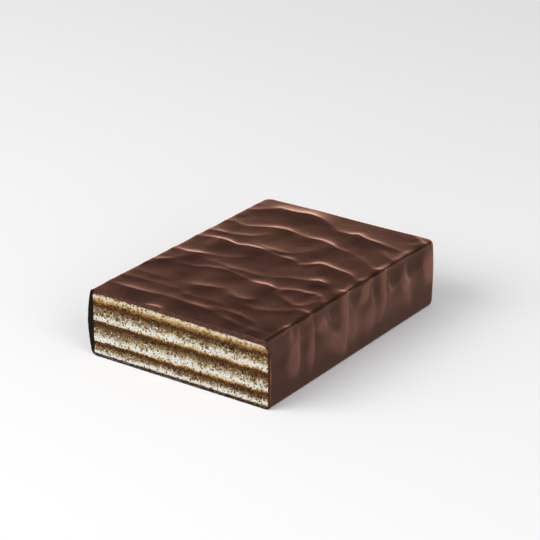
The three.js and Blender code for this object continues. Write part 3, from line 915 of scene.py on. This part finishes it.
# Shares across the rim of the cut, from the stack (0) to the outer skin (1), and its broken relief.
def shapeRim(skin):
    points = vertexPoints(skin.data)
    atCut = np.flatnonzero(points[:, 1] < bodyLow.y + 0.01 * mm)
    rings = coating["rimRings"] + 2
    section = points[atCut][:, [0, 2]]
    middle = np.array([(stackLow.x + stackHigh.x) / 2, (bodyLow.z + bodyHigh.z) / 2])
    half = np.array([(stackHigh.x - stackLow.x) / 2, (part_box("wafer_4")[1].z - bodyLow.z - walls["base"]) / 2])
    outward = np.abs(section - middle) - half
    distance = np.hypot(*np.clip(outward, 0, None).T) + np.minimum(outward.max(1), 0)
    share = np.zeros(len(points))
    share[atCut] = np.clip(distance / (0.75 * mm), 0, 1)
    storeOnPoints(skin, "rim", share)
    onRight = smoothStep(stackHigh.x - 1.5 * mm, stackHigh.x, points[:, 0])
    step = (points[:, 0] - stackHigh.x) / (bodyHigh.x + coating["bulgeRight"] - stackHigh.x)
    groove = np.exp(-((step - 0.05) / 0.09) ** 2) + 0.6 * np.exp(-((step - 0.52) / 0.10) ** 2)
    rim = np.zeros(len(points))
    rim[atCut] = 1 - 0.7 * smoothStep(-1.2 * mm, 0, points[atCut, 2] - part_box("wafer_4")[1].z)
    weighGroup(skin, "rim", rim)
    weighGroup(skin, "grooves", np.clip(rim * onRight * groove, 0, 1))
    displace(skin, "rim", coating["rimRoughness"], "Y", cloudTexture("chips", 0.55 * mm, 3), 0.45)
    displace(skin, "grooves", 0.30 * mm, "Y")


# Which edges belong to fewer than two faces.
def openEdges(piece):
    mesh = piece.data
    count = np.zeros(len(mesh.edges), int)
    edgeOfCorner = np.zeros(len(mesh.loops), int)
    mesh.loops.foreach_get("edge_index", edgeOfCorner)
    np.add.at(count, edgeOfCorner, 1)
    return count < 2


def closeFoot(skin):
    base = bodyLow.z + 0.01 * mm
    unfilled = openEdges(skin)
    pickEdges(skin, lambda a, b: unfilled & (a[:, 2] < base) & (b[:, 2] < base))
    bpy.ops.mesh.edge_face_add()
    bpy.ops.mesh.select_all(action="SELECT")
    bpy.ops.mesh.normals_make_consistent(inside=False)
    bpy.ops.object.mode_set(mode="OBJECT")


def makeCoating():
    skin = makeCoatingSkin()
    shapeCoatingSkin(skin)
    hollowCoating(skin)
    closeFoot(skin)
    shapeRim(skin)
    skin.data.materials.append(chocolateMaterial())
    skin.data.materials.append(brokenChocolateMaterial())
    pickFaces(skin, lambda centre, normal: (centre[:, 1] < bodyLow.y + 0.35 * mm) & (normal[:, 1] < -0.3))
    skin.active_material_index = 1
    bpy.ops.object.material_slot_assign()
    bpy.ops.object.mode_set(mode="OBJECT")
    makeActive(skin)
    bpy.ops.object.shade_smooth_by_angle(angle=math.radians(45))
    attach(skin, "root")
    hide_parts("coating")
    return skin


print("coating")
makeCoating()


# ---- Stack: layers that run the whole length, with a crumbled face at the cut ----
# Depth of the broken face, 0 to 1: round pores of two sizes, lumps and a fine crumb. Each pore
# belongs to one cell, and a cell's own number says whether it has one, and how wide.
def poreDepth(place, chance, narrowest, widest, rim):
    distances, centres = noise.voronoi(place)
    number = noise.cell(centres[0] * 13.7)
    if number > chance:
        return 0.0
    radius = narrowest + (widest - narrowest) * number / chance
    return min(1.0, max(0.0, (radius - distances[0]) / rim))


def pitDepth(x, z, share, isWafer):
    place = Vector((x / mm, 0, z / mm))
    warped = place + noise.noise_vector(place * 1.7) * 0.22
    porous = 0.45 + 0.55 * share if isWafer else 0.9 - 0.5 * share
    large = poreDepth(warped * 1.5, 0.42 * porous, 0.14, 0.30, 0.14)
    small = poreDepth(warped * 3.1, 0.70 * porous, 0.16, 0.36, 0.2)
    lumps = 0.5 + 0.5 * noise.noise(place * 2.0)
    crumb = 0.5 + 0.5 * noise.noise(place * 5.8)
    if isWafer:
        return min(1.0, 0.85 * large + 0.55 * small + 0.12 * lumps + 0.16 * crumb)
    return min(1.0, 0.45 * large + 0.4 * small + 0.25 * lumps + 0.25 * crumb)


def makeLayer(name, bottom, thickness, material):
    low = Vector((stackLow.x, bodyLow.y, bottom))
    high = Vector((stackHigh.x, stackHigh.y, bottom + thickness))
    layer = addBlock("layer_" + name, low, high)
    cutAlong(layer, 0, stack["cutsAcross"])
    cutAlong(layer, 2, (round(thickness / stack["gridStep"]),))
    pickFaces(layer, lambda centre, normal: normal[:, 1] > 0.9)
    bpy.ops.mesh.dissolve_faces()
    bpy.ops.object.mode_set(mode="OBJECT")
    isWafer = name.startswith("wafer")
    points = vertexPoints(layer.data)
    share = (points[:, 2] - bottom) / thickness
    pit = np.zeros(len(points))
    for index in np.flatnonzero(points[:, 1] < bodyLow.y + 0.01 * mm):
        pit[index] = pitDepth(points[index, 0], points[index, 2], share[index], isWafer)
    storeOnPoints(layer, "share", share)
    storeOnPoints(layer, "pit", pit)

    # The boundaries wander, the top falls to the right, and the upper corners are crushed round.
    stackBase = bodyLow.z + walls["base"]
    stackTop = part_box("wafer_4")[1].z
    fromTop = stackTop - points[:, 2]
    toRight = (points[:, 0] - stackLow.x) / (stackHigh.x - stackLow.x)
    inner = smoothStep(0, 0.9 * mm, np.minimum(points[:, 2] - stackBase, fromTop))
    weighGroup(layer, "pits", pit)
    weighGroup(layer, "wavy", inner)
    weighGroup(layer, "fall", topFall(points))
    weighGroup(layer, "tuckRight", cornerInset(fromTop, stack["rightCorner"]) * smoothStep(0.80, 1.0, toRight) ** 2)
    weighGroup(layer, "tuckLeft", cornerInset(fromTop, stack["leftCorner"]) * smoothStep(0.10, 0.0, toRight) ** 2)
    displace(layer, "wavy", stack["waviness"], "Z", cloudTexture("bends", 3.2 * mm, 2), 0.5)
    displace(layer, "fall", -stack["topFall"], "Z")
    displace(layer, "tuckRight", -stack["rightCorner"], "X")
    displace(layer, "tuckLeft", stack["leftCorner"], "X")
    displace(layer, "pits", stack["pitDepth"] if isWafer else stack["creamDepth"], "Y")
    layer.data.materials.append(material)
    makeActive(layer)
    bpy.ops.object.shade_smooth_by_angle(angle=math.radians(60))
    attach(layer, "root")
    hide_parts(name)
    return layer


# Inset of a rounded upper corner at a distance below the top, as a share of its radius.
def cornerInset(fromTop, radius):
    past = 1 - np.clip(fromTop / radius, 0, 1)
    return 1 - np.sqrt(1 - past ** 2)


print("stack")
layerMaterials = {name: layerMaterial(name) for name in layerLooks}
layerBottom = bodyLow.z + walls["base"]
for layerName, layerThickness in stack["layers"]:
    lookName = {"wafer_4": "waferTop", "cream_3": "creamTop"}.get(layerName, layerName[:5])
    makeLayer(layerName, layerBottom, layerThickness * mm, layerMaterials[lookName])
    layerBottom += layerThickness * mm


# ---- Floor, light and camera ----
floor = {"size": 4.0, "colour": (0.93, 0.93, 0.93), "glow": 0.14}


def makeFloor():
    deselectAll()
    bpy.ops.mesh.primitive_plane_add(size=floor["size"])
    plane = bpy.context.object
    plane.name = "floor"
    material = newMaterial("floor")
    place = addNode(material, "ShaderNodeTexCoord").outputs["Object"]
    soft = noiseNode(material, place, 0.2, 2)
    colour = rampNode(material, soft, [(0.3, floor["colour"]), (0.7, (0.95, 0.95, 0.95))])
    roughness = mapNode(material, soft, 0, 1, 0.8, 0.9)
    finishMaterial(
        material, colour, roughness, soft, 0.01 * mm,
        Specular_IOR_Level=0.1, Emission_Color=(1.0, 1.0, 1.0, 1.0), Emission_Strength=floor["glow"],
    )
    plane.data.materials.append(material)
    plane.visible_glossy = False


# Area lights: where each stands around the cake, its size and its power.
lights = [
    {"name": "key", "azimuth": -32, "elevation": 36, "distance": 0.8, "size": (0.7, 0.5), "power": 4.9,
     "mirrored": True},
    {"name": "fill", "azimuth": 65, "elevation": 30, "distance": 0.9, "size": (0.6, 0.6), "power": 2.8,
     "mirrored": False},
]


def makeLights():
    for light in lights:
        azimuth, elevation = math.radians(light["azimuth"]), math.radians(light["elevation"])
        way = Vector((
            math.sin(azimuth) * math.cos(elevation),
            -math.cos(azimuth) * math.cos(elevation),
            math.sin(elevation),
        ))
        bpy.ops.object.light_add(type="AREA", location=way * light["distance"])
        lamp = bpy.context.object
        lamp.name = light["name"]
        lamp.rotation_euler = way.to_track_quat("Z", "Y").to_euler()
        lamp.data.shape = "RECTANGLE"
        lamp.data.size, lamp.data.size_y = light["size"]
        lamp.data.energy = light["power"]
        lamp.visible_glossy = light["mirrored"]


# The studio around: a low warm backdrop behind the cake that fades upwards and downwards.
studio = {
    "ambient": (0.30, 0.30, 0.31),
    "floorGlow": [
        (0.00, (0.24, 0.185, 0.160)),
        (0.30, (0.42, 0.325, 0.280)),
        (0.44, (0.40, 0.310, 0.267)),
        (0.50, (0.06, 0.046, 0.040)),
    ],
    "backdrop": {
        "azimuth": 215.0,
        "wrap": (0.3, 0.7),
        "glow": 3.4,
        "heights": [
            (0.22, (0.03, 0.016, 0.011)),
            (0.30, (0.14, 0.070, 0.050)),
            (0.40, (0.45, 0.240, 0.170)),
            (0.46, (1.00, 0.680, 0.540)),
            (0.54, (1.00, 0.620, 0.470)),
            (0.58, (0.72, 0.370, 0.260)),
            (0.62, (0.36, 0.165, 0.112)),
            (0.66, (0.20, 0.090, 0.060)),
            (0.685, (0.11, 0.050, 0.034)),
            (0.70, (0.02, 0.009, 0.006)),
            (0.72, (0.00, 0.000, 0.000)),
        ],
    },
    "side": {
        "azimuth": 90.0,
        "wrap": (0.55, 0.85),
        "glow": 2.6,
        "heights": [
            (0.38, (0.00, 0.000, 0.000)),
            (0.48, (0.90, 0.720, 0.630)),
            (0.58, (1.00, 0.800, 0.700)),
            (0.66, (0.40, 0.310, 0.270)),
            (0.74, (0.08, 0.060, 0.052)),
            (0.80, (0.00, 0.000, 0.000)),
        ],
    },
}


# Warm reflectors that show in reflections only, so that they don't tint the floor and the wafer.
def addReflector(world, look, place, height):
    azimuth = math.radians(look["azimuth"])
    facing = addNode(world, "ShaderNodeVectorMath", operation="DOT_PRODUCT")
    facing.inputs[1].default_value = (math.sin(azimuth), -math.cos(azimuth), 0)
    join(world, place, facing.inputs[0])
    across = mapNode(world, facing.outputs["Value"], *look["wrap"], 0.0, look["glow"])
    return mixNode(world, 1.0, rampNode(world, height, look["heights"]), across, "MULTIPLY")


def makeWorld():
    world = bpy.data.worlds.new("studio")
    bpy.context.scene.world = world
    world.use_nodes = True
    world.node_tree.nodes.clear()
    place = addNode(world, "ShaderNodeTexCoord").outputs["Generated"]
    split = addNode(world, "ShaderNodeSeparateXYZ")
    join(world, place, split.inputs[0])
    height = mapNode(world, split.outputs["Z"], -1, 1, 0, 1)
    behind = addReflector(world, studio["backdrop"], place, height)
    seen = mixNode(world, 1.0, behind, addReflector(world, studio["side"], place, height), "ADD")
    seen = mixNode(world, 1.0, seen, rampNode(world, height, studio["floorGlow"]), "ADD")
    rays = addNode(world, "ShaderNodeLightPath")
    colour = mixNode(world, rays.outputs["Is Glossy Ray"], studio["ambient"], seen)
    background = addNode(world, "ShaderNodeBackground")
    output = addNode(world, "ShaderNodeOutputWorld")
    join(world, colour, background.inputs["Color"])
    join(world, background.outputs["Background"], output.inputs["Surface"])


# The photograph's viewpoint, as an orbit around a point of the cake.
view = {
    "lens": 141.9,
    "azimuth": 35.0,
    "elevation": 23.22,
    "distance": 0.3863,
    "aim": (22.98 * mm, 23.27 * mm, 14.18 * mm),  # from the body's left foot at the cut
}


def makeCamera():
    azimuth, elevation = math.radians(view["azimuth"]), math.radians(view["elevation"])
    way = Vector((
        math.sin(azimuth) * math.cos(elevation),
        -math.cos(azimuth) * math.cos(elevation),
        math.sin(elevation),
    ))
    bpy.ops.object.camera_add(location=bodyLow + Vector(view["aim"]) + way * view["distance"])
    camera = bpy.context.object
    camera.rotation_euler = way.to_track_quat("Z", "Y").to_euler()
    camera.data.lens = view["lens"]
    camera.data.sensor_width = 36
    camera.data.clip_start = 0.01
    camera.data.dof.use_dof = False
    bpy.context.scene.camera = camera


print("stage")
makeFloor()
makeLights()
makeWorld()
makeCamera()
bpy.context.scene.view_settings.view_transform = "Standard"
